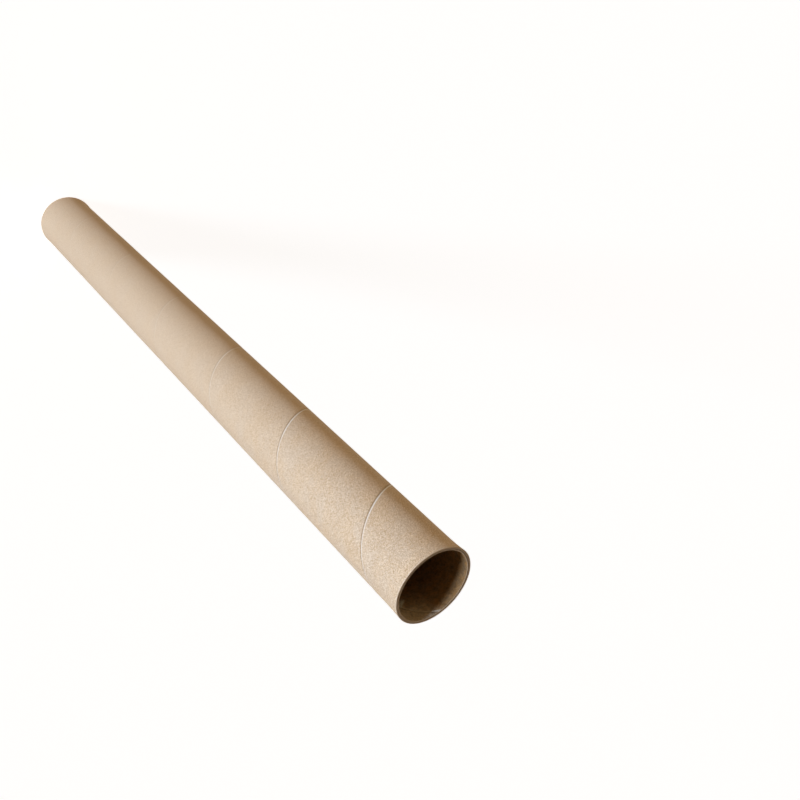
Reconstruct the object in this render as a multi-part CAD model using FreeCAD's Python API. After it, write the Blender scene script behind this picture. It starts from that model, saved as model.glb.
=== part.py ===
import FreeCAD, Part
import math
import os

# A cardboard mailing tube: one wall of kraft board wound in spiral plies, cut square at both ends and open right
# through. It stands on one end. Millimetres, +Z up along the tube, origin at the middle of the lower end.

# The tube
length = 609.6             # cut end to cut end, 24 inches
outer_diameter = 52.0      # over the outermost ply
wall = 1.7                 # all the plies together
edge_bevel = 0.15          # worn corners of the cut ends

# The winding: every ply is one long strip wound right-handed, its two edges meeting in a butt seam
seam_lead = 98.0           # climb of a seam in one turn of the tube
seam_gap = 0.7             # opening between the strip's two edges, square to the seam
outer_ply = 0.35           # thickness of the outermost strip, so the depth of its seam
inner_ply = 0.35           # thickness of the innermost strip, so the depth of its seam
outer_seam_drop = 56.3     # from the upper end down to the outer seam, on the +Y side
inner_seam_drop = 52.2     # from the upper end down to the inner seam, on the +Y side

cutter_reach = 1.0         # how far a seam's cutter stands out of the surfaces it cuts

outer_radius = outer_diameter / 2
inner_radius = outer_radius - wall


def wall_section():
    """The wall's outline in the XZ plane: a thin upright rectangle with its four corners bevelled."""
    inside, outside = inner_radius, outer_radius
    outline = [
        (inside + edge_bevel, 0),
        (outside - edge_bevel, 0),
        (outside, edge_bevel),
        (outside, length - edge_bevel),
        (outside - edge_bevel, length),
        (inside + edge_bevel, length),
        (inside, length - edge_bevel),
        (inside, edge_bevel),
    ]
    points = [FreeCAD.Vector(x, 0, z) for x, z in outline]
    return Part.Face(Part.makePolygon(points + points[:1]))


def plain_tube():
    """The wall as a full ring, before its seams."""
    axis = FreeCAD.Vector(0, 0, 1)
    return wall_section().revolve(FreeCAD.Vector(0, 0, 0), axis, 360)


def seam_cutter(near_radius, far_radius, drop):
    """
    A right-handed helical bar that cuts one seam. Its section is a rectangle in the plane through the tube's axis,
    from near_radius to far_radius, and it crosses the +Y side at drop below the upper end.
    """
    radius = (near_radius + far_radius) / 2
    slope = math.atan2(seam_lead, 2 * math.pi * radius)
    half_height = seam_gap / math.cos(slope) / 2
    top = length + half_height + cutter_reach
    on_plus_x = length - drop - seam_lead / 4
    turns_below = math.ceil((on_plus_x + half_height + cutter_reach) / seam_lead)
    start = on_plus_x - turns_below * seam_lead
    path = Part.makeHelix(seam_lead, top - start, radius)
    corners = [
        FreeCAD.Vector(near_radius, 0, -half_height),
        FreeCAD.Vector(far_radius, 0, -half_height),
        FreeCAD.Vector(far_radius, 0, half_height),
        FreeCAD.Vector(near_radius, 0, half_height),
    ]
    section = Part.makePolygon(corners + corners[:1])
    bar = Part.Wire(path.Edges).makePipeShell([section], True, True)
    bar.translate(FreeCAD.Vector(0, 0, start))
    return bar


def outer_seam():
    """The seam of the outermost ply, seen all the way along the tube."""
    return seam_cutter(outer_radius - outer_ply, outer_radius + cutter_reach, outer_seam_drop)


def inner_seam():
    """The seam of the innermost ply, seen inside the mouth."""
    return seam_cutter(inner_radius - cutter_reach, inner_radius + inner_ply, inner_seam_drop)


def cardboard_tube():
    """The finished tube."""
    return plain_tube().cut(outer_seam()).cut(inner_seam())


os.makedirs("parts", exist_ok=True)
tube = cardboard_tube()
tube.exportStep("parts/cardboard_tube.step")
print("cardboard_tube: solids", len(tube.Solids), "valid", tube.isValid(), "volume mm3", round(tube.Volume, 1))
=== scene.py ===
import logging
import math
from dataclasses import dataclass
from enum import Enum
from typing import Union

import bmesh
import bpy
from mathutils import Matrix, Vector, noise


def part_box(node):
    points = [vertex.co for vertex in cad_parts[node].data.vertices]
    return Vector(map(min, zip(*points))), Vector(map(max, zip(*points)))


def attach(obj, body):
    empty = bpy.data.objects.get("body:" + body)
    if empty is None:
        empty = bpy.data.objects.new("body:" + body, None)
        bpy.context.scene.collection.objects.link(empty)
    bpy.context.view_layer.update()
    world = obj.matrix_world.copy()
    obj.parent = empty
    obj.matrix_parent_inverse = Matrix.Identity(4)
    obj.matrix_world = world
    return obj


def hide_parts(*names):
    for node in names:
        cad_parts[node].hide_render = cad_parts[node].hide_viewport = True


# The looks of a cardboard mailing tube that stands on its far end. Lengths are in metres unless a name says mm.

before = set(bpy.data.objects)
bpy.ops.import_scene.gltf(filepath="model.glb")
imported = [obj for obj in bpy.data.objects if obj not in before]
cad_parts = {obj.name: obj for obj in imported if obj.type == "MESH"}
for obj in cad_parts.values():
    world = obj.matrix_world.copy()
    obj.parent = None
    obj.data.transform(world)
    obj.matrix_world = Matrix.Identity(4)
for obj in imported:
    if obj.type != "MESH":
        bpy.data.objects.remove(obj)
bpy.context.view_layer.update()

MM = 0.001
FULL_TURN = 2 * math.pi
FIBRE_SHEEN_ROUGHNESS = 0.6
TUBE_NODE = "cardboard_tube"

log = logging.getLogger("mailing_tube")

Colour = tuple[float, float, float]
Number = Union[float, "Value"]


class Wall(Enum):
    """Which face of the wound wall a strip of board shows on. The value is +1 outwards and -1 inwards."""

    OUTER = 1
    INNER = -1


class End(Enum):
    """Which cut end of the tube. The value is the way the end faces along Z."""

    MOUTH = 1
    FOOT = -1


class Face(Enum):
    """Which finish a face of the mesh has. The value is its material number."""

    KRAFT = 0
    LINER = 1
    CUT = 2


class Value:
    """A number that changes over a surface. Python's operators on it add Math nodes to the material."""

    def __init__(self, shader: "Shader", socket: bpy.types.NodeSocket) -> None:
        """Wraps a socket.

        Args:
            shader: the material's builder, which adds the nodes.
            socket: the output that carries the number.
        """
        self.shader = shader
        self.socket = socket

    def math(self, operation: str, *others: Number) -> "Value":
        """Adds one Math node.

        Args:
            operation: the Math node's operation.
            others: the numbers or values of its second and third sockets.

        Returns:
            The node's result.
        """
        node = self.shader.node("ShaderNodeMath", {"operation": operation}, dict(enumerate((self, *others))))
        return Value(self.shader, node.outputs[0])

    def reversed_math(self, operation: str, first: float) -> "Value":
        """As math, with a plain number in front of this value."""
        node = self.shader.node("ShaderNodeMath", {"operation": operation}, {0: first, 1: self})
        return Value(self.shader, node.outputs[0])

    def __add__(self, other: Number) -> "Value":
        """self + other"""
        return self.math("ADD", other)

    def __radd__(self, other: float) -> "Value":
        """other + self"""
        return self.reversed_math("ADD", other)

    def __sub__(self, other: Number) -> "Value":
        """self - other"""
        return self.math("SUBTRACT", other)

    def __rsub__(self, other: float) -> "Value":
        """other - self"""
        return self.reversed_math("SUBTRACT", other)

    def __mul__(self, other: Number) -> "Value":
        """self * other"""
        return self.math("MULTIPLY", other)

    def __rmul__(self, other: float) -> "Value":
        """other * self"""
        return self.reversed_math("MULTIPLY", other)

    def __truediv__(self, other: Number) -> "Value":
        """self / other"""
        return self.math("DIVIDE", other)

    def step(self, low: float, high: float) -> "Value":
        """A soft step of this value.

        Args:
            low: where the step starts, at 0.
            high: where it ends, at 1. It may be under low, for a step down.

        Returns:
            A value from 0 to 1.
        """
        settings = {"interpolation_type": "SMOOTHSTEP", "clamp": True}
        if low <= high:
            ends = {"From Min": low, "From Max": high, "To Min": 0.0, "To Max": 1.0}
        else:
            ends = {"From Min": high, "From Max": low, "To Min": 1.0, "To Max": 0.0}
        node = self.shader.node("ShaderNodeMapRange", settings, {"Value": self, **ends})
        return Value(self.shader, node.outputs["Result"])


class Shader:
    """Builds the nodes of one material or sky."""

    def __init__(self, owner: bpy.types.Material | bpy.types.World) -> None:
        """Starts with no nodes.

        Args:
            owner: the new material or sky.
        """
        self.owner = owner
        self.owner.use_nodes = True
        self.tree = self.owner.node_tree
        self.tree.nodes.clear()

    def node(self, kind: str, settings: dict | None = None, sockets: dict | None = None) -> bpy.types.Node:
        """Adds any node.

        Args:
            kind: the node's type.
            settings: its options, which are set first.
            sockets: its inputs by name or number, each a number, a colour, a Value or another node's output.

        Returns:
            The node.
        """
        node = self.tree.nodes.new(kind)
        for key, setting in (settings or {}).items():
            setattr(node, key, setting)
        for key, value in (sockets or {}).items():
            target = node.inputs[key]
            source = value.socket if isinstance(value, Value) else value
            if isinstance(source, bpy.types.NodeSocket):
                self.tree.links.new(source, target)
            else:
                target.default_value = self.padded(source, target)
        return node

    @staticmethod
    def padded(value: object, target: bpy.types.NodeSocket) -> object:
        """Adds an alpha to a colour where the socket wants four numbers.

        Args:
            value: a colour, or any other value, which is left as it is.
            target: the socket that the value is for.

        Returns:
            What the socket takes.
        """
        if isinstance(value, tuple) and target.type == "RGBA" and len(value) == 3:
            return (*value, 1.0)
        return value

    def place_mm(self) -> bpy.types.NodeSocket:
        """Reads the point of the surface in the tube's own frame.

        Returns:
            The point, in millimetres.
        """
        coordinates = self.node("ShaderNodeTexCoord")
        sockets = {0: coordinates.outputs["Object"], "Scale": 1 / MM}
        return self.node("ShaderNodeVectorMath", {"operation": "SCALE"}, sockets).outputs[0]

    def split(self, vector: bpy.types.NodeSocket) -> tuple[Value, Value, Value]:
        """The three parts of a vector."""
        outputs = self.node("ShaderNodeSeparateXYZ", sockets={0: vector}).outputs
        return Value(self, outputs[0]), Value(self, outputs[1]), Value(self, outputs[2])

    def joined(self, x: Number, y: Number, z: Number) -> bpy.types.NodeSocket:
        """A vector of three numbers or values."""
        return self.node("ShaderNodeCombineXYZ", sockets={0: x, 1: y, 2: z}).outputs[0]

    def noise(self, vector: bpy.types.NodeSocket, detail: float = 2.0, rough: float = 0.5) -> Value:
        """Soft noise whose grains are about one unit of the vector apart.

        Args:
            vector: where the noise is read.
            detail: how many finer layers it has.
            rough: how strong the finer layers are.

        Returns:
            A value about 0.5.
        """
        sockets = {"Vector": vector, "Scale": 1.0, "Detail": detail, "Roughness": rough}
        node = self.node("ShaderNodeTexNoise", {"noise_dimensions": "3D"}, sockets)
        return Value(self, node.outputs[0])

    def mix(self, factor: Number, first: object, second: object) -> bpy.types.NodeSocket:
        """One colour over another.

        Args:
            factor: how much of the second shows, from 0 to 1.
            first: the colour or output below.
            second: the colour or output above.

        Returns:
            The mixed colour.
        """
        settings = {"data_type": "RGBA", "clamp_factor": True}
        node = self.node("ShaderNodeMix", settings, {0: factor, 6: first, 7: second})
        return node.outputs[2]

    def shade(self, colour: bpy.types.NodeSocket, amount: Value) -> bpy.types.NodeSocket:
        """A colour multiplied by a value about 1."""
        sockets = {0: colour, "Scale": amount}
        return self.node("ShaderNodeVectorMath", {"operation": "SCALE"}, sockets).outputs[0]

    def finish(
        self,
        colour: bpy.types.NodeSocket,
        roughness: Value,
        height_mm: Value,
        gloss: float,
        sheen: float,
    ) -> bpy.types.Material:
        """Puts the finish on the surface.

        Args:
            colour: the base colour.
            roughness: how matt it is.
            height_mm: its fine relief, in millimetres.
            gloss: the strength of its reflections, 0.5 for a plain surface.
            sheen: the strength of the light that its fibres catch.

        Returns:
            The finished material.
        """
        bump = self.node("ShaderNodeBump", sockets={"Strength": 1.0, "Distance": MM, "Height": height_mm})
        sockets = {
            "Base Color": colour,
            "Roughness": roughness,
            "Normal": bump.outputs[0],
            "Specular IOR Level": gloss,
            "Sheen Weight": sheen,
            "Sheen Roughness": FIBRE_SHEEN_ROUGHNESS,
        }
        surface = self.node("ShaderNodeBsdfPrincipled", sockets=sockets)
        self.node("ShaderNodeOutputMaterial", sockets={"Surface": surface.outputs[0]})
        return self.owner


@dataclass(frozen=True)
class Seam:
    """Where the two edges of one wound strip meet. It climbs right-handed round the tube, as in the solids."""

    wall: Wall
    radius_mm: float
    drop_mm: float
    lead_mm: float = 98.0
    gap_mm: float = 0.7
    depth_mm: float = 0.35
    lip_mm: float = 0.62

    @property
    def slope(self) -> float:
        """The angle between the seam and a level ring, on this wall."""
        return math.atan2(self.lead_mm, FULL_TURN * self.radius_mm)

    @property
    def start_mm(self) -> float:
        """The height at which the seam crosses the +X side, nearest above the foot."""
        on_plus_x = tube_length_mm() - self.drop_mm - self.lead_mm / 4
        return on_plus_x % self.lead_mm

    def along_axis(self, square_mm: float) -> float:
        """A distance square to the seam, measured along the tube instead."""
        return square_mm / math.cos(self.slope)


@dataclass(frozen=True)
class StripPlace:
    """Where a point of the surface lies on its wound strip, in millimetres."""

    along: Value
    across: Value
    height: Value

    def point(self, shader: Shader, long_mm: float, wide_mm: float, layer: float) -> bpy.types.NodeSocket:
        """Where a noise is read, scaled so that its grains have the given length and width.

        Args:
            shader: the material's builder.
            long_mm: the grain's length along the strip.
            wide_mm: its width across the strip.
            layer: a number that keeps one noise apart from the others.

        Returns:
            The vector.
        """
        return shader.joined(self.along / long_mm, self.across / wide_mm, layer)

    def edge_point(self, shader: Shader, long_mm: float, layer: float) -> bpy.types.NodeSocket:
        """As point, for a noise that changes only along the strip's edge."""
        return shader.joined(self.along / long_mm, 0.0, layer)

    def from_end(self) -> Value:
        """The distance from the nearer cut end."""
        middle = tube_length_mm() / 2
        return (self.height - middle).math("ABSOLUTE").reversed_math("SUBTRACT", middle)


def tube_length_mm() -> float:
    """The tube's length, from the frame."""
    low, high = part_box(TUBE_NODE)
    return (high.z - low.z) / MM


def tube_radius_mm() -> float:
    """The tube's outer radius, from the frame."""
    low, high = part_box(TUBE_NODE)
    return (high.x - low.x) / 2 / MM


def strip_place(shader: Shader, seam: Seam) -> StripPlace:
    """Unrolls the wall along its strip, so that a pattern runs with the board and breaks at its seams.

    Args:
        shader: the material's builder.
        seam: the seam of the wall's own strip.

    Returns:
        The distances along the strip, across it from the seam, and up the tube.
    """
    x, y, z = shader.split(shader.place_mm())
    angle = y.math("ARCTAN2", x)
    turns = (z - seam.start_mm) / seam.lead_mm - angle / FULL_TURN
    turn = turns.math("ROUND")
    across = (turns - turn) * (seam.lead_mm * math.cos(seam.slope))
    round_the_tube = (angle + turn * FULL_TURN) * seam.radius_mm
    along = round_the_tube * math.cos(seam.slope) + z * math.sin(seam.slope)
    return StripPlace(along, across, z)


@dataclass(frozen=True)
class Grain:
    """The look of one board: its clouds, mottle, fibres and flecks, which fade a little towards the foot."""

    cloud_mm: float = 14.0
    cloud: float = 0.05
    mottle_mm: float = 0.42
    mottle: float = 1.1
    fibre_long_mm: float = 1.8
    fibre_wide_mm: float = 0.3
    fibre: float = 0.18
    fleck_mm: float = 0.8
    dark_fleck: float = 0.24
    pale_fleck: float = 0.16
    relief_mm: float = 0.05
    full_above_mm: float = 600.0
    faded_below_mm: float = 250.0
    foot_share: float = 0.3

    def pattern(self, shader: Shader, place: StripPlace) -> tuple[Value, Value]:
        """The board's formation.

        Args:
            shader: the material's builder.
            place: where the point lies on its strip.

        Returns:
            A factor about 1 for the colour, and the fine relief in millimetres.
        """
        cloud = shader.noise(place.point(shader, self.cloud_mm, self.cloud_mm, 3.1), 3.0)
        mottle = shader.noise(place.point(shader, self.mottle_mm, self.mottle_mm, 7.7), 2.0, 0.6)
        fibre = shader.noise(place.point(shader, self.fibre_long_mm, self.fibre_wide_mm, 1.3), 2.0, 0.6)
        fleck = shader.noise(place.point(shader, 1.2 * self.fleck_mm, self.fleck_mm, 5.9), 1.0, 0.5)
        dark = fleck.step(0.33, 0.2) * self.dark_fleck
        pale = fleck.step(0.68, 0.8) * self.pale_fleck
        factor = 1.0 + (cloud - 0.5) * (2 * self.cloud) + (mottle - 0.5) * (2 * self.mottle)
        factor = factor + (fibre - 0.5) * (2 * self.fibre) - dark + pale
        factor = (factor - 1.0) * self.strength(place) + 1.0
        relief = (fibre + mottle - dark) * self.relief_mm
        return factor, relief

    def strength(self, place: StripPlace) -> Value:
        """How strongly the pattern shows, which falls from 1 at the mouth to the foot's share."""
        nearness = place.height.step(self.faded_below_mm, self.full_above_mm)
        return nearness * (1.0 - self.foot_share) + self.foot_share


@dataclass(frozen=True)
class KraftFace:
    """The outermost strip: kraft board between brown and cream, with a pale frayed edge beside its seam and
    painted shade in the seam's groove.
    """

    seam: Seam
    grain: Grain = Grain()
    brown: Colour = (0.393, 0.242, 0.115)
    cream: Colour = (0.917, 0.800, 0.675)
    warm_brown: Colour = (0.396, 0.226, 0.090)
    warm_cream: Colour = (0.924, 0.750, 0.560)
    pale: Colour = (0.88, 0.85, 0.82)
    # painted shade: the darker colour laid in the seam's groove stands for the groove's own shade
    groove: Colour = (0.46, 0.35, 0.25)
    brown_to_cream: float = 0.8
    broad_tint_mm: tuple[float, float] = (23.0, 17.0)
    fine_tint_mm: tuple[float, float] = (2.2, 1.4)
    warmth: float = 0.7
    fray_mm: float = 0.3
    # painted light: how much wider the pale edge is painted on the +X side, which the key light leaves in shade
    shaded_side_lip_mm: float = 0.34
    seam_full_above_mm: float = 560.0
    seam_faded_below_mm: float = 200.0
    seam_foot_share: float = 0.18
    worn_mm: float = 0.9
    wear: float = 0.6
    matt: float = 0.72
    gloss: float = 0.12
    sheen: float = 0.05

    def material(self) -> bpy.types.Material:
        """Makes the finish of the outer wall.

        Returns:
            The material.
        """
        shader = Shader(bpy.data.materials.new("kraft_face"))
        place = strip_place(shader, self.seam)
        factor, relief = self.grain.pattern(shader, place)
        broad = shader.noise(place.point(shader, *self.broad_tint_mm, 11.0), 2.0)
        fine = shader.noise(place.point(shader, *self.fine_tint_mm, 12.0), 2.0, 0.6)
        tone = (factor - 1.0) / self.brown_to_cream + 0.5
        plain = shader.mix(tone, self.brown, self.cream)
        warm = shader.mix(tone, self.warm_brown, self.warm_cream)
        tint = (broad * 0.6 + fine * 0.4).step(0.38, 0.62) - 0.5
        colour = shader.mix((tint * self.grain.strength(place) + 0.5) * self.warmth, plain, warm)
        colour, relief = self.with_seam(shader, place, colour, relief)
        colour = self.with_wear(shader, place, colour)
        roughness = self.matt + (factor - 1.0) * 0.3
        return shader.finish(colour, roughness, relief, self.gloss, self.sheen)

    def with_seam(
        self,
        shader: Shader,
        place: StripPlace,
        colour: bpy.types.NodeSocket,
        relief: Value,
    ) -> tuple[bpy.types.NodeSocket, Value]:
        """Adds the open groove with painted shade in it and, towards the mouth, the strip's pale edge. On the +X
        side, which the key light leaves in shade, the edge is painted wider and brighter and the groove's shade
        darker: painted light and painted shade.

        Args:
            shader: the material's builder.
            place: where the point lies on its strip.
            colour: the colour so far.
            relief: the relief so far, in millimetres.

        Returns:
            The new colour and relief.
        """
        half_gap = self.seam.gap_mm / 2
        lip_end = half_gap + self.seam.lip_mm
        radius = self.seam.radius_mm
        # 0 on the -X side that the key light falls on and 1 on the +X side in shade: it paints the pale edge
        # wider and brighter and the groove darker on the shaded side
        shaded_side = shader.split(shader.place_mm())[0].step(-radius, 0.1 * radius)
        fray = (shader.noise(place.edge_point(shader, 0.5, 2.0), 2.0, 0.6) - 0.5) * self.fray_mm
        edge = place.across + fray
        lip = edge.step(half_gap - 0.12, half_gap + 0.02)
        lip = lip * (edge - shaded_side * self.shaded_side_lip_mm).step(lip_end + 0.1, lip_end - 0.2)
        nearness = place.height.step(self.seam_faded_below_mm, self.seam_full_above_mm)
        nearness = nearness * (1.0 - self.seam_foot_share) + self.seam_foot_share
        patchy = shader.noise(place.edge_point(shader, 6.0, 4.0), 2.0).step(0.15, 0.45) * 0.4 + 0.6
        lip = lip * nearness * patchy * (shaded_side * 0.4 + 0.6)
        # painted shade in the seam's groove, fading towards the foot
        groove_shade = place.across.math("ABSOLUTE").step(half_gap, half_gap - 0.1)
        colour = shader.mix(groove_shade * nearness * (shaded_side * 0.5 + 0.35), colour, self.groove)
        colour = shader.mix(lip, colour, self.pale)
        return colour, relief + lip * 0.02

    def with_wear(
        self,
        shader: Shader,
        place: StripPlace,
        colour: bpy.types.NodeSocket,
    ) -> bpy.types.NodeSocket:
        """Rubs the board a little paler close to the cut ends.

        Args:
            shader: the material's builder.
            place: where the point lies on its strip.
            colour: the colour so far.

        Returns:
            The new colour.
        """
        rub = shader.noise(place.point(shader, 3.0, 3.0, 9.0), 3.0, 0.6).step(0.35, 0.7)
        edge = place.from_end().step(self.worn_mm, 0.1) * (rub * 0.7 + 0.3)
        return shader.mix(edge * self.wear, colour, self.pale)


@dataclass(frozen=True)
class Scuff:
    """A long tuft of torn pale fibres on the inner wall, placed by its angle and its depth in the mouth."""

    angle_degrees: float = -119.0
    depth_mm: float = 15.5
    long_mm: float = 7.0
    wide_mm: float = 1.9
    slant_degrees: float = 38.0
    fibre_long_mm: float = 1.6
    fibre_wide_mm: float = 0.5
    colour: Colour = (0.95, 0.94, 0.92)

    def mask(self, shader: Shader, radius_mm: float) -> Value:
        """Where the tuft shows.

        Args:
            shader: the material's builder.
            radius_mm: the wall's radius.

        Returns:
            A value from 0 to 1.
        """
        x, y, z = shader.split(shader.place_mm())
        round_mm = (y.math("ARCTAN2", x) - math.radians(self.angle_degrees)) * radius_mm
        deep_mm = tube_length_mm() - self.depth_mm - z
        slant = math.radians(self.slant_degrees)
        along = round_mm * math.cos(slant) + deep_mm * math.sin(slant)
        across = deep_mm * math.cos(slant) - round_mm * math.sin(slant)
        fibres = shader.joined(along / self.fibre_long_mm, across / self.fibre_wide_mm, 21.0)
        torn = shader.noise(fibres, 3.0, 0.7)
        shape = along.math("ABSOLUTE").step(self.long_mm, 0.3 * self.long_mm)
        shape = shape * across.math("ABSOLUTE").step(self.wide_mm, 0.1 * self.wide_mm)
        return shape * torn.step(0.34, 0.46)


@dataclass(frozen=True)
class LinerFace:
    """The innermost strip: plain brown board, blotchy and furred, with a pale edge beside its seam."""

    seam: Seam
    grain: Grain = Grain(
        cloud_mm=4.5,
        cloud=0.42,
        mottle_mm=1.5,
        mottle=0.55,
        fibre=0.45,
        dark_fleck=0.4,
        relief_mm=0.05,
    )
    scuff: Scuff = Scuff()
    colour: Colour = (0.350, 0.187, 0.072)
    grey: Colour = (0.290, 0.177, 0.090)
    # partly a dusting's colour and partly painted light: the paler, greyer colour near the ends on the -X, -Y
    # side
    dust_and_light: Colour = (0.66, 0.56, 0.45)
    pale: Colour = (0.72, 0.63, 0.53)
    # painted shadow: the colour of the dark line that the seam's mouth-side edge would cast
    groove: Colour = (0.13, 0.085, 0.055)
    blotch_mm: tuple[float, float] = (5.0, 4.0)
    bare_mm: float = 0.9
    shade_mm: float = 0.8
    fur_mm: tuple[float, float] = (1.2, 0.8)
    dust_and_light_way: tuple[float, float] = (-0.55, -0.83)
    dust_and_light_deep_mm: float = 24.0
    dust_and_light_patch_mm: float = 4.0
    tuft_relief_mm: float = 0.15
    matt: float = 0.88
    gloss: float = 0.1
    sheen: float = 0.02

    def material(self) -> bpy.types.Material:
        """Makes the finish of the inner wall.

        Returns:
            The material.
        """
        shader = Shader(bpy.data.materials.new("liner_face"))
        place = strip_place(shader, self.seam)
        factor, relief = self.grain.pattern(shader, place)
        tint = shader.noise(place.point(shader, *self.blotch_mm, 13.0), 3.0, 0.6)
        colour = shader.mix(tint.step(0.35, 0.65), self.colour, self.grey)
        colour = shader.shade(self.with_dust_and_light(shader, place, colour), factor)
        colour = self.with_seam(shader, place, colour)
        tuft = self.scuff.mask(shader, self.seam.radius_mm)
        colour = shader.mix(tuft, colour, self.scuff.colour)
        roughness = self.matt + (factor - 1.0) * 0.1
        return shader.finish(colour, roughness, relief + tuft * self.tuft_relief_mm, self.gloss, self.sheen)

    def with_seam(
        self,
        shader: Shader,
        place: StripPlace,
        colour: bpy.types.NodeSocket,
    ) -> bpy.types.NodeSocket:
        """Adds the seam: a pale furred band over the groove and below it, and a line of painted shadow on the
        mouth's side.

        Args:
            shader: the material's builder.
            place: where the point lies on its strip.
            colour: the colour so far.

        Returns:
            The new colour.
        """
        half_gap = self.seam.gap_mm / 2
        bare = place.across.step(-half_gap - self.bare_mm, -half_gap - 0.2)
        bare = bare * place.across.step(half_gap, half_gap - 0.15)
        shade = place.across.step(half_gap - 0.1, half_gap + 0.1)
        shade = shade * place.across.step(half_gap + self.shade_mm, half_gap + self.shade_mm / 2)
        furred = shader.noise(place.point(shader, *self.fur_mm, 17.0), 2.0, 0.6).step(0.3, 0.65)
        # painted shadow of the seam's mouth-side edge
        colour = shader.mix(shade * 0.5, colour, self.groove)
        return shader.mix(bare * (furred * 0.5 + 0.4), colour, self.pale)

    def with_dust_and_light(
        self,
        shader: Shader,
        place: StripPlace,
        colour: bpy.types.NodeSocket,
    ) -> bpy.types.NodeSocket:
        """Makes the board paler and greyer close to the cut ends on the -X, -Y side of the inner wall: partly a
        dusting left by the cutting, partly painted light on that part of the wall.

        Args:
            shader: the material's builder.
            place: where the point lies on its strip.
            colour: the colour so far.

        Returns:
            The new colour.
        """
        patches = place.point(shader, self.dust_and_light_patch_mm, self.dust_and_light_patch_mm, 19.0)
        patchy = shader.noise(patches, 2.0) * 0.6 + 0.4
        x, y, _ = shader.split(shader.place_mm())
        side = (x * self.dust_and_light_way[0] + y * self.dust_and_light_way[1]) / self.seam.radius_mm
        # painted light in part: the paler colour near the ends on the -X, -Y side stands for light there as well
        # as for a dusting
        dust_and_light_mask = place.from_end().step(self.dust_and_light_deep_mm, 2.0) * side.step(0.6, 0.95) * patchy
        return shader.mix(dust_and_light_mask, colour, self.dust_and_light)


@dataclass(frozen=True)
class CutFace:
    """The cut ends: the plies' bare edges, with one dark glue line between them and some faint ones."""

    ply_mm: float
    outer_mm: float
    wall_mm: float
    main_line_mm: float = 0.62
    main_line_shift_mm: float = 0.36
    wander_mm: float = 0.2
    faint_line: float = 0.2
    board: Colour = (0.62, 0.45, 0.31)
    pale: Colour = (0.80, 0.60, 0.40)
    glue: Colour = (0.17, 0.115, 0.080)
    relief_mm: float = 0.06
    matt: float = 0.9
    gloss: float = 0.1
    sheen: float = 0.05

    def material(self) -> bpy.types.Material:
        """Makes the finish of the ring at each end.

        Returns:
            The material.
        """
        shader = Shader(bpy.data.materials.new("cut_face"))
        x, y, z = shader.split(shader.place_mm())
        radius = (x * x + y * y).math("SQRT")
        around = y.math("ARCTAN2", x) * self.outer_mm
        wander = (shader.noise(shader.joined(x / 2.5, y / 2.5, z / 5.0), 2.0) - 0.5) * self.wander_mm
        depth = self.outer_mm - radius + wander
        faint = self.faint_lines(depth)
        side = x / (2 * self.outer_mm) + 0.5
        main_line = side * self.main_line_shift_mm + self.main_line_mm
        strong = (depth - main_line).math("ABSOLUTE").step(0.26, 0.06) * (side * 0.7 + 0.3)
        coarse = shader.noise(shader.joined(around / 0.8, radius / 0.3, z / 3.0), 3.0, 0.65)
        fine = shader.noise(shader.joined(around / 0.3, radius / 0.14, 1.0), 2.0, 0.6)
        edges = depth.step(0.35, 0.1) + depth.step(self.wall_mm - 0.5, self.wall_mm - 0.2) * 0.4
        colour = shader.mix(coarse.step(0.4, 0.75) * 0.6, self.board, self.pale)
        colour = shader.mix(edges * 0.75, colour, self.pale)
        colour = shader.mix(faint * self.faint_line, colour, self.glue)
        colour = shader.mix(strong * (coarse * 0.5 + 0.55), colour, self.glue)
        colour = shader.shade(colour, 0.6 + fine * 0.8)
        relief = (coarse + fine * 0.5 - strong) * self.relief_mm
        return shader.finish(colour, self.matt + coarse * 0.1, relief, self.gloss, self.sheen)

    def faint_lines(self, depth: Value) -> Value:
        """The glue lines between the other plies.

        Args:
            depth: how far the point is from the outside, in millimetres.

        Returns:
            A value from 0 to 1.
        """
        count = depth / self.ply_mm
        faint = (count - count.math("ROUND")).math("ABSOLUTE").step(0.25, 0.05)
        return faint * depth.step(0.15, 0.3) * depth.step(self.wall_mm - 0.15, self.wall_mm - 0.3)


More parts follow.
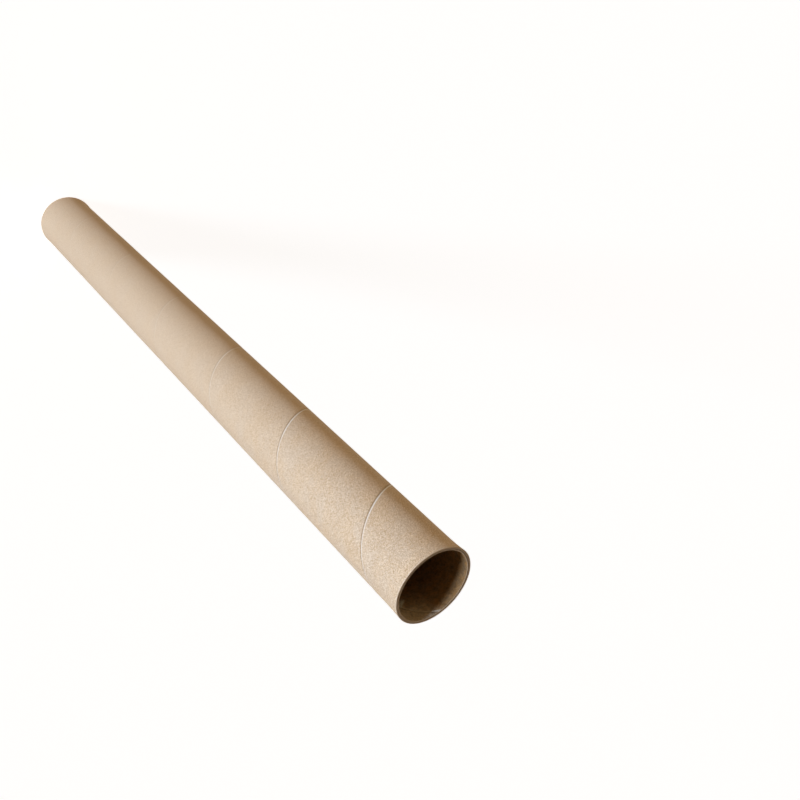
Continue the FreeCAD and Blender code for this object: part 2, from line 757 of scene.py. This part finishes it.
@dataclass
class WoundTube:
    """The tube's wall: outer and inner faces wound from strips with open butt seams, and layered cut ends."""

    name: str = "wound_tube"
    wall_mm: float = 1.7
    plies: int = 5
    outer_drop_mm: float = 56.3
    inner_drop_mm: float = 52.2
    steps: int = 240
    spans: int = 9
    corner_mm: float = 0.18
    corner_angles: tuple[float, ...] = (0.4, 0.8, 1.2, 1.57)
    ply_edge_mm: float = 0.05
    glue_line_mm: float = 0.06
    ragged_mm: float = 0.07
    torn_mm: float = 0.16
    out_of_round_mm: float = 0.08
    swell_mm: float = 0.5
    swell_deep_mm: float = 10.0
    swell_more: float = 0.25
    swell_way: float = 0.2
    waviness_mm: float = 0.05
    wave_long_mm: float = 60.0
    closed_share: float = 0.75
    closes_from: float = 0.1
    closes_over: float = 0.35
    crease_degrees: float = 32.0

    def __post_init__(self) -> None:
        """Takes the length and radius from the frame and works out what follows from them."""
        self.length_mm = tube_length_mm()
        self.outer_mm = tube_radius_mm()
        self.inner_mm = self.outer_mm - self.wall_mm
        self.ply_mm = self.wall_mm / self.plies
        self.seams = {
            Wall.OUTER: Seam(Wall.OUTER, self.outer_mm, self.outer_drop_mm),
            Wall.INNER: Seam(Wall.INNER, self.inner_mm, self.inner_drop_mm),
        }

    def build(self) -> bpy.types.Object:
        """Models the tube as one closed mesh and dresses it.

        Returns:
            The piece.
        """
        mesh = bmesh.new()
        for wall in Wall:
            self.wind(mesh, wall)
        for end in End:
            self.close_end(mesh, end)
        self.settle(mesh)
        data = bpy.data.meshes.new(self.name)
        bmesh.ops.recalc_face_normals(mesh, faces=mesh.faces)
        self.mark_sharp(mesh)
        bmesh.ops.scale(mesh, vec=(MM, MM, MM), verts=mesh.verts)
        mesh.to_mesh(data)
        mesh.free()
        piece = bpy.data.objects.new(self.name, data)
        bpy.context.scene.collection.objects.link(piece)
        self.dress(piece)
        return piece

    def dress(self, piece: bpy.types.Object) -> None:
        """Gives the piece its three finishes, in the order of the faces' material numbers.

        Args:
            piece: the tube.
        """
        finishes = (
            KraftFace(self.seams[Wall.OUTER]),
            LinerFace(self.seams[Wall.INNER]),
            CutFace(self.ply_mm, self.outer_mm, self.wall_mm),
        )
        for finish in finishes:
            piece.data.materials.append(finish.material())

    def section(self, seam: Seam) -> list[tuple[float, float]]:
        """One lead of the wall's section, from mid-strip to mid-strip, with the seam in its middle.

        Args:
            seam: the seam.

        Returns:
            Points as (radius, height) in millimetres, with the seam's middle at height 0.
        """
        face = seam.radius_mm
        out = seam.wall.value
        floor = face - out * seam.depth_mm
        gap = seam.along_axis(seam.gap_mm / 2)
        lip = seam.along_axis(seam.lip_mm)
        half = seam.lead_mm / 2
        return [
            (face, -half),
            (face, -gap - 1.6),
            (face + out * 0.015, -gap - 0.25),
            (face - out * 0.03, -gap - 0.04),
            (floor + out * 0.04, -gap + 0.05),
            (floor, -gap + 0.12),
            (floor, gap - 0.12),
            (floor + out * 0.04, gap - 0.05),
            (face - out * 0.02, gap + 0.03),
            (face + out * 0.05, gap + 0.16),
            (face + out * 0.05, gap + 0.5 * lip),
            (face + out * 0.01, gap + lip),
            (face, gap + 1.8),
            (face, half),
        ]

    def wind(self, mesh: bmesh.types.BMesh, wall: Wall) -> None:
        """Winds one face of the wall and trims it to the tube's length.

        Args:
            mesh: the mesh being built, in millimetres.
            wall: which face.
        """
        seam = self.seams[wall]
        strip = bmesh.new()
        corners = [strip.verts.new((radius, 0.0, height)) for radius, height in self.section(seam)]
        edges = [strip.edges.new(pair) for pair in zip(corners, corners[1:])]
        long_edges = [edges[0], edges[-1]]
        bmesh.ops.subdivide_edges(strip, edges=long_edges, cuts=self.spans - 1)
        bmesh.ops.spin(
            strip,
            geom=strip.verts[:] + strip.edges[:],
            cent=(0.0, 0.0, 0.0),
            axis=(0.0, 0.0, 1.0),
            dvec=(0.0, 0.0, seam.lead_mm / self.steps),
            angle=FULL_TURN,
            steps=self.steps,
            use_merge=False,
        )
        first = seam.start_mm - 2 * seam.lead_mm
        bmesh.ops.translate(strip, vec=(0.0, 0.0, first), verts=strip.verts)
        turn = strip.verts[:] + strip.edges[:] + strip.faces[:]
        turns = math.ceil(self.length_mm / seam.lead_mm) + 2
        for number in range(1, turns + 1):
            copy = bmesh.ops.duplicate(strip, geom=turn)["geom"]
            verts = [part for part in copy if isinstance(part, bmesh.types.BMVert)]
            bmesh.ops.translate(strip, vec=(0.0, 0.0, number * seam.lead_mm), verts=verts)
        bmesh.ops.remove_doubles(strip, verts=strip.verts, dist=0.001)
        for height, way in ((self.corner_mm, -1.0), (self.length_mm - self.corner_mm, 1.0)):
            bmesh.ops.bisect_plane(
                strip,
                geom=strip.verts[:] + strip.edges[:] + strip.faces[:],
                dist=0.0001,
                plane_co=(0.0, 0.0, height),
                plane_no=(0.0, 0.0, way),
                clear_outer=True,
            )
        self.ease_groove(strip, seam)
        for face in strip.faces:
            face.material_index = (Face.KRAFT if wall is Wall.OUTER else Face.LINER).value
        part = bpy.data.meshes.new("strip")
        strip.to_mesh(part)
        strip.free()
        mesh.from_mesh(part)
        bpy.data.meshes.remove(part)

    def ease_groove(self, strip: bmesh.types.BMesh, seam: Seam) -> None:
        """Makes the seam's groove shallower, away from the mouth.

        Args:
            strip: the wall's mesh, in millimetres.
            seam: the seam.
        """
        for vert in strip.verts:
            radius = math.hypot(vert.co.x, vert.co.y)
            from_mouth = (self.length_mm - vert.co.z) / self.length_mm
            closed = min(1.0, max(0.0, (from_mouth - self.closes_from) / self.closes_over))
            share = 1.0 - self.closed_share * closed
            wanted = seam.radius_mm + (radius - seam.radius_mm) * share
            vert.co.x *= wanted / radius
            vert.co.y *= wanted / radius

    def rim_edges(self, mesh: bmesh.types.BMesh, end: End, wall: Wall) -> list[bmesh.types.BMEdge]:
        """The open edges of one face of the wall at one end.

        Args:
            mesh: the mesh being built.
            end: which end.
            wall: which face.

        Returns:
            The edges of that loop.
        """
        middle = self.length_mm / 2
        parting = (self.outer_mm + self.inner_mm) / 2

        def is_on_rim(edge: bmesh.types.BMEdge) -> bool:
            """Finds out whether an edge is open and lies at that end and on that face.

            Args:
                edge: the edge.

            Returns:
                Whether it does.
            """
            point = edge.verts[0].co
            at_end = (point.z - middle) * end.value > 0
            on_wall = (math.hypot(point.x, point.y) - parting) * wall.value > 0
            return edge.is_boundary and at_end and on_wall

        return [edge for edge in mesh.edges if is_on_rim(edge)]

    def end_rings(self) -> list[tuple[float, float]]:
        """The rings of a cut end, from the outer corner inwards.

        Returns:
            Each ring's radius and how deep it lies under the cut, in millimetres.
        """
        worn = [
            (self.corner_mm * (1 - math.cos(angle)), self.corner_mm * (1 - math.sin(angle)))
            for angle in self.corner_angles
        ]
        rings = [(self.outer_mm - inwards, depth) for inwards, depth in worn]
        for number in range(1, self.plies):
            middle = self.outer_mm - number * self.ply_mm
            rings += [
                (middle + self.ply_edge_mm, 0.0),
                (middle, self.glue_line_mm),
                (middle - self.ply_edge_mm, 0.0),
            ]
        rings += [(self.inner_mm + inwards, depth) for inwards, depth in reversed(worn)]
        return rings

    def close_end(self, mesh: bmesh.types.BMesh, end: End) -> None:
        """Closes one end with the plies' cut edges.

        Args:
            mesh: the mesh being built.
            end: which end.
        """
        edges = self.rim_edges(mesh, end, Wall.OUTER)
        inner = self.rim_edges(mesh, end, Wall.INNER)
        top = self.length_mm if end is End.MOUTH else 0.0
        for ring, (radius, depth) in enumerate(self.end_rings()):
            grown = bmesh.ops.extrude_edge_only(mesh, edges=edges)["geom"]
            edges = [part for part in grown if isinstance(part, bmesh.types.BMEdge)]
            for part in grown:
                if isinstance(part, bmesh.types.BMFace):
                    part.material_index = Face.CUT.value
                if isinstance(part, bmesh.types.BMVert):
                    self.place_on_ring(part, radius, top, depth, end, ring)
        bridge = bmesh.ops.bridge_loops(mesh, edges=edges + inner)
        for face in bridge["faces"]:
            face.material_index = Face.CUT.value

    def place_on_ring(
        self,
        vert: bmesh.types.BMVert,
        radius: float,
        top: float,
        depth: float,
        end: End,
        ring: int,
    ) -> None:
        """Moves a point straight in to its ring, a little up or down where the cut is ragged.

        Args:
            vert: the point.
            radius: the ring's radius.
            top: the height of the cut.
            depth: how deep the ring lies under it.
            end: which end.
            ring: the ring's number, so that each is ragged in its own way.
        """
        across = Vector((vert.co.x, vert.co.y, 0.0)).normalized()
        grain = noise.noise(Vector((across.x * 30, across.y * 30, ring * 3.7 + end.value)))
        tear = noise.noise(Vector((across.x * 9, across.y * 9, ring * 1.9 - end.value)))
        ragged = self.ragged_mm * (0.7 * grain + 0.6 * tear)
        torn = noise.noise(Vector((across.x * 22, across.y * 22, 5.3 * end.value))) + 0.3 * grain
        near_bore = max(0.0, 1.0 - (radius - self.inner_mm) / 0.4)
        vert.co = across * (radius + 0.4 * ragged - self.torn_mm * near_bore * max(0.0, torn))
        vert.co.z = top - end.value * (depth + abs(ragged))

    def settle(self, mesh: bmesh.types.BMesh) -> None:
        """Lets the wall be a little out of round and wavy, as wound board is.

        Args:
            mesh: the mesh being built.
        """
        for vert in mesh.verts:
            across = Vector((vert.co.x, vert.co.y, 0.0))
            angle = math.atan2(across.y, across.x)
            height = vert.co.z / self.length_mm
            oval = math.cos(2 * angle + 1.3 * height) * self.out_of_round_mm
            spot = across.normalized() * 1.2
            wave = noise.noise(Vector((spot.x, spot.y, vert.co.z / self.wave_long_mm))) * self.waviness_mm
            vert.co += across.normalized() * (oval + wave + self.swelling(across, vert.co.z))

    def swelling(self, across: Vector, height: float) -> float:
        """How far the cut has pushed the outer plies outwards, most at the cut itself and more on one side.

        Args:
            across: the point's place square to the axis.
            height: its height in millimetres.

        Returns:
            The distance in millimetres.
        """
        from_end = min(height, self.length_mm - height)
        nearness = max(0.0, 1.0 - from_end / self.swell_deep_mm) ** 1.5
        outwards = min(1.0, max(0.0, (across.length - self.inner_mm) / self.wall_mm))
        side = 1.0 + self.swell_more * math.cos(math.atan2(across.y, across.x) - self.swell_way)
        return self.swell_mm * side * nearness * outwards

    def mark_sharp(self, mesh: bmesh.types.BMesh) -> None:
        """Shades the faces smooth, apart from the edges of the grooves and of the cut ends.

        Args:
            mesh: the mesh being built.
        """
        crease = math.radians(self.crease_degrees)
        for face in mesh.faces:
            face.smooth = True
        for edge in mesh.edges:
            edge.smooth = len(edge.link_faces) == 2 and edge.calc_face_angle() < crease


@dataclass(frozen=True)
class Lamp:
    """A distant lamp: the way from the tube to it, its strength and colour, and how wide it looks in degrees."""

    name: str
    way: tuple[float, float, float]
    power: float
    colour: Colour
    softness: float

    def build(self) -> None:
        """Makes the lamp."""
        data = bpy.data.lights.new(self.name, "SUN")
        data.energy = self.power
        data.color = self.colour
        data.angle = math.radians(self.softness)
        lamp = bpy.data.objects.new(self.name, data)
        lamp.rotation_euler = Vector(self.way).to_track_quat("Z", "Y").to_euler()
        bpy.context.scene.collection.objects.link(lamp)


@dataclass(frozen=True)
class Studio:
    """A plain pale floor under soft light that comes mostly from one side."""

    floor_reach: float = 40.0
    floor_grey: float = 0.8
    floor_white: Colour = (0.83, 0.835, 0.85)
    floor_glow: Colour = (0.31, 0.202, 0.092)
    low_sky: Colour = (0.225, 0.155, 0.074)
    high_sky: Colour = (0.06, 0.049, 0.034)
    lamps: tuple[Lamp, ...] = (
        Lamp("key_light", (-0.92, 0.39, 0.052), 2.95, (1.01, 1.19, 1.40), 13.0),
        Lamp("side_light", (0.70, 0.70, 0.30), 0.22, (1.0, 0.66, 0.20), 60.0),
        Lamp("back_light", (0.45, -0.89, 0.08), 0.9, (1.0, 0.90, 0.80), 60.0),
    )

    def build(self) -> None:
        """Makes the floor, the lamps and the sky."""
        self.floor()
        self.world()
        for lamp in self.lamps:
            lamp.build()

    @staticmethod
    def seen_directly(shader: Shader) -> Value:
        """Tells what the camera sees, also in a reflection or through glass, from light that falls on things.

        Args:
            shader: the builder of the material or sky.

        Returns:
            1 where it is seen and 0 where it lights.
        """
        rays = shader.node("ShaderNodeLightPath").outputs
        seen = Value(shader, rays["Is Camera Ray"]) + Value(shader, rays["Is Glossy Ray"])
        return (seen + Value(shader, rays["Is Transmission Ray"])).math("MINIMUM", 1.0)

    def floor(self) -> None:
        """Lays the floor under the tube's foot."""
        mesh = bmesh.new()
        bmesh.ops.create_grid(mesh, x_segments=1, y_segments=1, size=self.floor_reach)
        data = bpy.data.meshes.new("floor")
        mesh.to_mesh(data)
        mesh.free()
        floor = bpy.data.objects.new("floor", data)
        bpy.context.scene.collection.objects.link(floor)
        shader = Shader(bpy.data.materials.new("pale_floor"))
        grey = (self.floor_grey,) * 3
        matt = shader.node("ShaderNodeBsdfDiffuse", sockets={"Color": grey})
        light = shader.mix(self.seen_directly(shader), self.floor_glow, self.floor_white)
        lift = shader.node("ShaderNodeEmission", sockets={"Color": light})
        both = shader.node("ShaderNodeAddShader", sockets={0: matt.outputs[0], 1: lift.outputs[0]})
        shader.node("ShaderNodeOutputMaterial", sockets={"Surface": both.outputs[0]})
        data.materials.append(shader.owner)

    def world(self) -> None:
        """Lights all from around, dimly, behind a white that only the camera sees."""
        shader = Shader(bpy.data.worlds.new("studio"))
        bpy.context.scene.world = shader.owner
        way = shader.split(shader.node("ShaderNodeTexCoord").outputs["Generated"])
        light = shader.mix(way[2].step(0.2, 0.85), self.low_sky, self.high_sky)
        light = shader.mix(self.seen_directly(shader), light, (1.0, 1.0, 1.0))
        sky = shader.node("ShaderNodeBackground", sockets={"Color": light})
        shader.node("ShaderNodeOutputWorld", sockets={"Surface": sky.outputs[0]})


@dataclass(frozen=True)
class Viewpoint:
    """The photograph's view of the tube: over the mouth, down the wall to the foot."""

    place: tuple[float, float, float] = (-0.22202, 0.37690, 0.88472)
    right: tuple[float, float, float] = (0.811554, 0.000651, 0.584278)
    up: tuple[float, float, float] = (0.335972, 0.817618, -0.467572)
    lens_mm: float = 40.35
    sensor_mm: float = 36.0

    def build(self) -> None:
        """Makes the camera."""
        data = bpy.data.cameras.new("camera")
        data.lens = self.lens_mm
        data.sensor_width = self.sensor_mm
        data.clip_start = 0.01
        data.clip_end = 200.0
        camera = bpy.data.objects.new("camera", data)
        right = Vector(self.right).normalized()
        back = right.cross(Vector(self.up)).normalized()
        up = back.cross(right)
        turn = Matrix((right, up, back)).transposed().to_4x4()
        camera.matrix_world = Matrix.Translation(self.place) @ turn
        bpy.context.scene.collection.objects.link(camera)
        bpy.context.scene.camera = camera


def main() -> None:
    """Builds the tube and its surroundings."""
    bpy.context.scene.view_settings.view_transform = "Standard"
    Viewpoint().build()
    Studio().build()
    tube = WoundTube().build()
    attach(tube, "root")
    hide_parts(TUBE_NODE)
    log.info("%s: %d faces", tube.name, len(tube.data.polygons))


if __name__ == "__main__":
    logging.basicConfig(level=logging.INFO)
    main()
